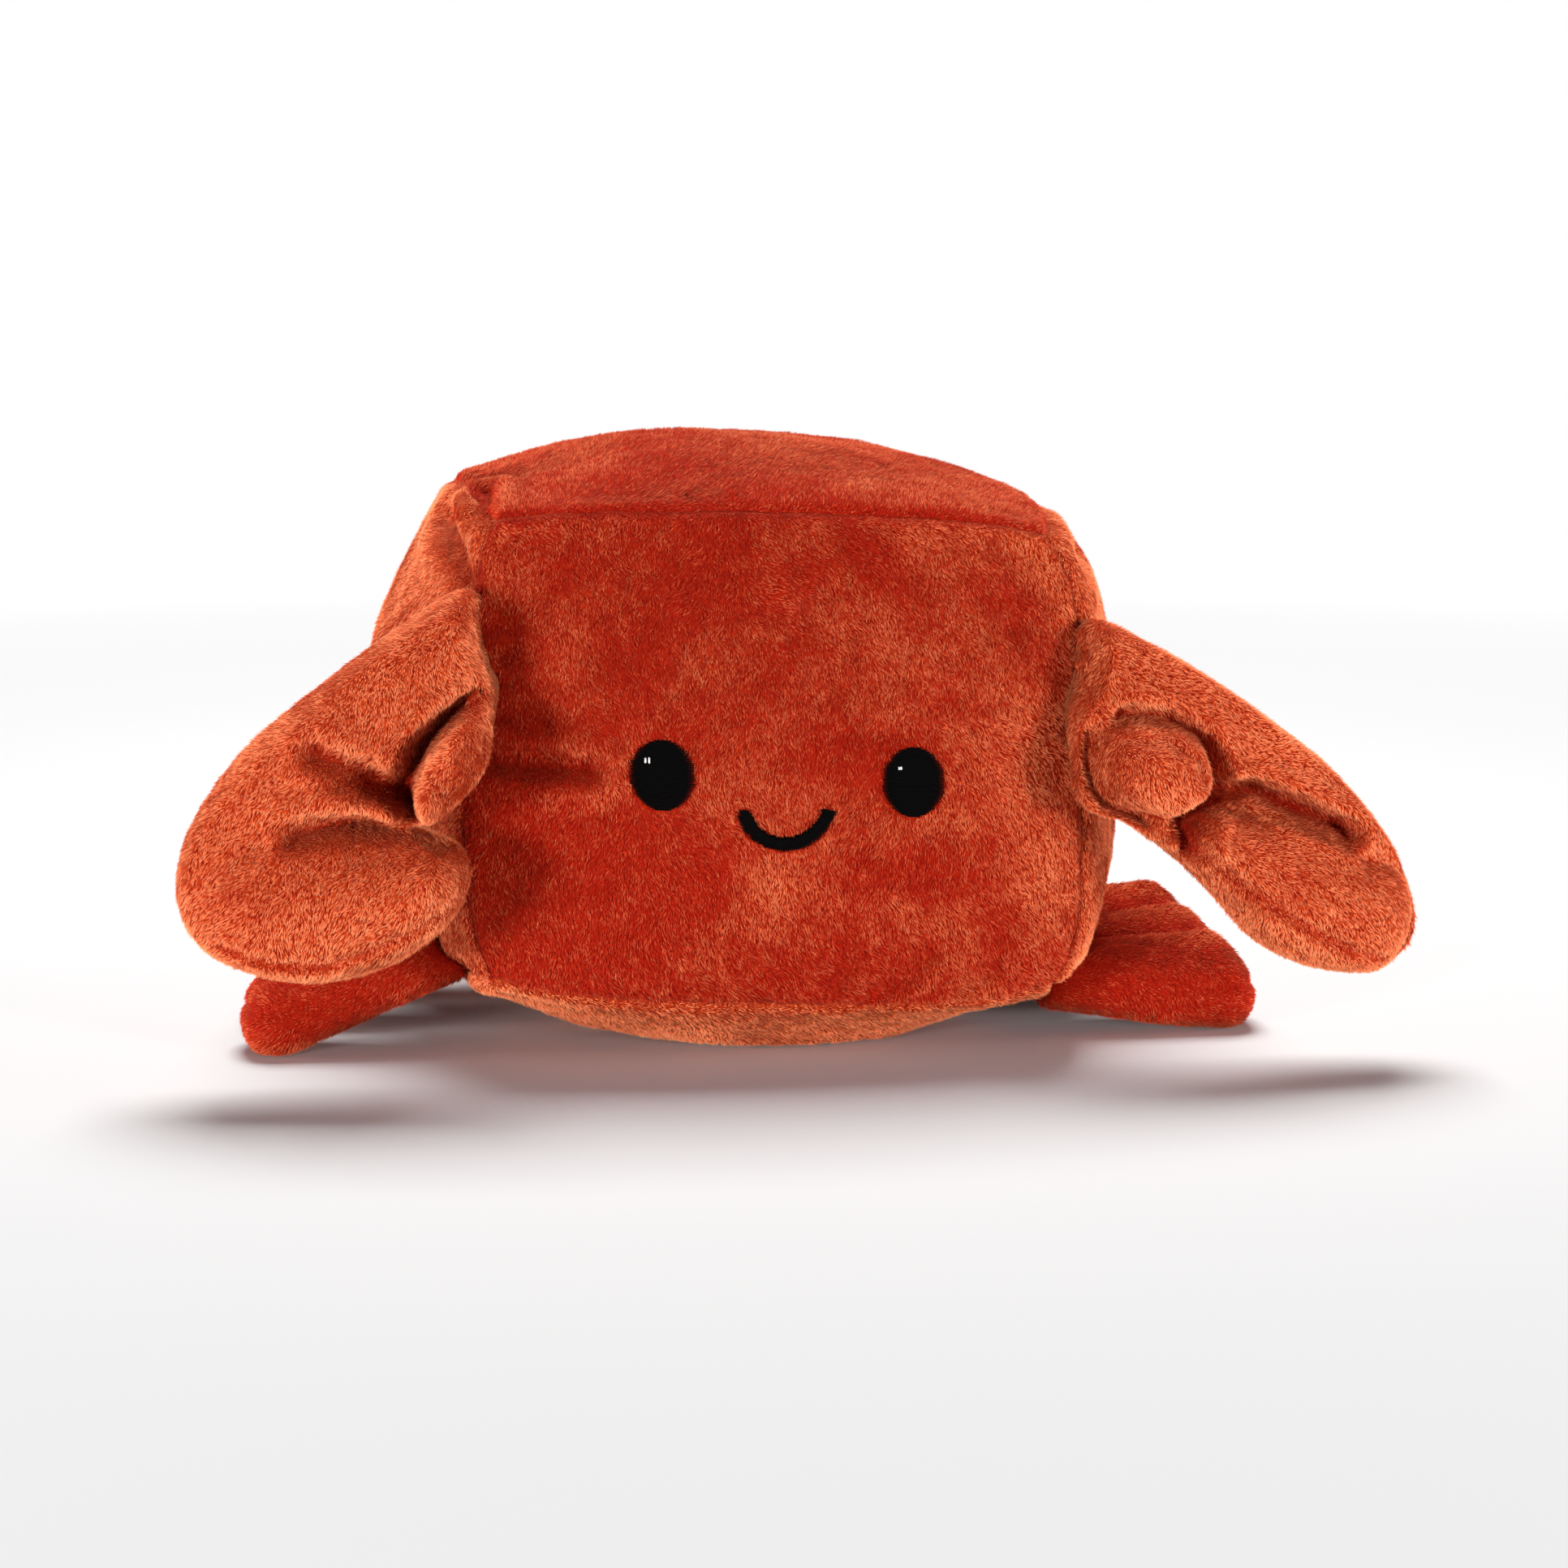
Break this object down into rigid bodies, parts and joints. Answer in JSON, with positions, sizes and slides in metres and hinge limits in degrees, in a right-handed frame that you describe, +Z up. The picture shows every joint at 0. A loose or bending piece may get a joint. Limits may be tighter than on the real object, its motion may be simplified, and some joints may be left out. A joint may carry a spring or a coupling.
{
  "type": "plush crab",
  "caption": "Soft plush crab toy with a cube-shaped stuffed body, curled claws, short legs and an embroidered smiling face.",
  "frame": {"origin": "on the floor under the middle of the body cube", "axes": "+X across the crab to the viewer's right, -Y the way the face looks, +Z up"},
  "size_m": [0.2412, 0.1424, 0.1216],
  "materials": {
    "plush_fabric": "short velvety pile",
    "stuffing": "loose polyester fibre",
    "black_thread": "satin stitch embroidery",
    "white_thread": "satin stitch embroidery"
  },
  "bodies": {
    "root": {"front_panel": "plush_fabric", "back_panel": "plush_fabric", "left_side_panel": "plush_fabric", "right_side_panel": "plush_fabric", "top_panel": "plush_fabric", "base_panel": "plush_fabric", "body_stuffing": "stuffing", "left_eye": "black_thread", "right_eye": "black_thread", "mouth": "black_thread", "left_eye_highlight": "white_thread", "right_eye_highlight": "white_thread", "left_claw_front": "plush_fabric", "left_claw_back": "plush_fabric", "left_claw_stuffing": "stuffing", "right_claw_front": "plush_fabric", "right_claw_back": "plush_fabric", "right_claw_stuffing": "stuffing", "left_front_leg_upper": "plush_fabric", "left_front_leg_lower": "plush_fabric", "left_front_leg_stuffing": "stuffing", "left_middle_leg_upper": "plush_fabric", "left_middle_leg_lower": "plush_fabric", "left_middle_leg_stuffing": "stuffing", "left_rear_leg_upper": "plush_fabric", "left_rear_leg_lower": "plush_fabric", "left_rear_leg_stuffing": "stuffing", "right_front_leg_upper": "plush_fabric", "right_front_leg_lower": "plush_fabric", "right_front_leg_stuffing": "stuffing", "right_middle_leg_upper": "plush_fabric", "right_middle_leg_lower": "plush_fabric", "right_middle_leg_stuffing": "stuffing", "right_rear_leg_upper": "plush_fabric", "right_rear_leg_lower": "plush_fabric", "right_rear_leg_stuffing": "stuffing"}
  },
  "joints": []
}
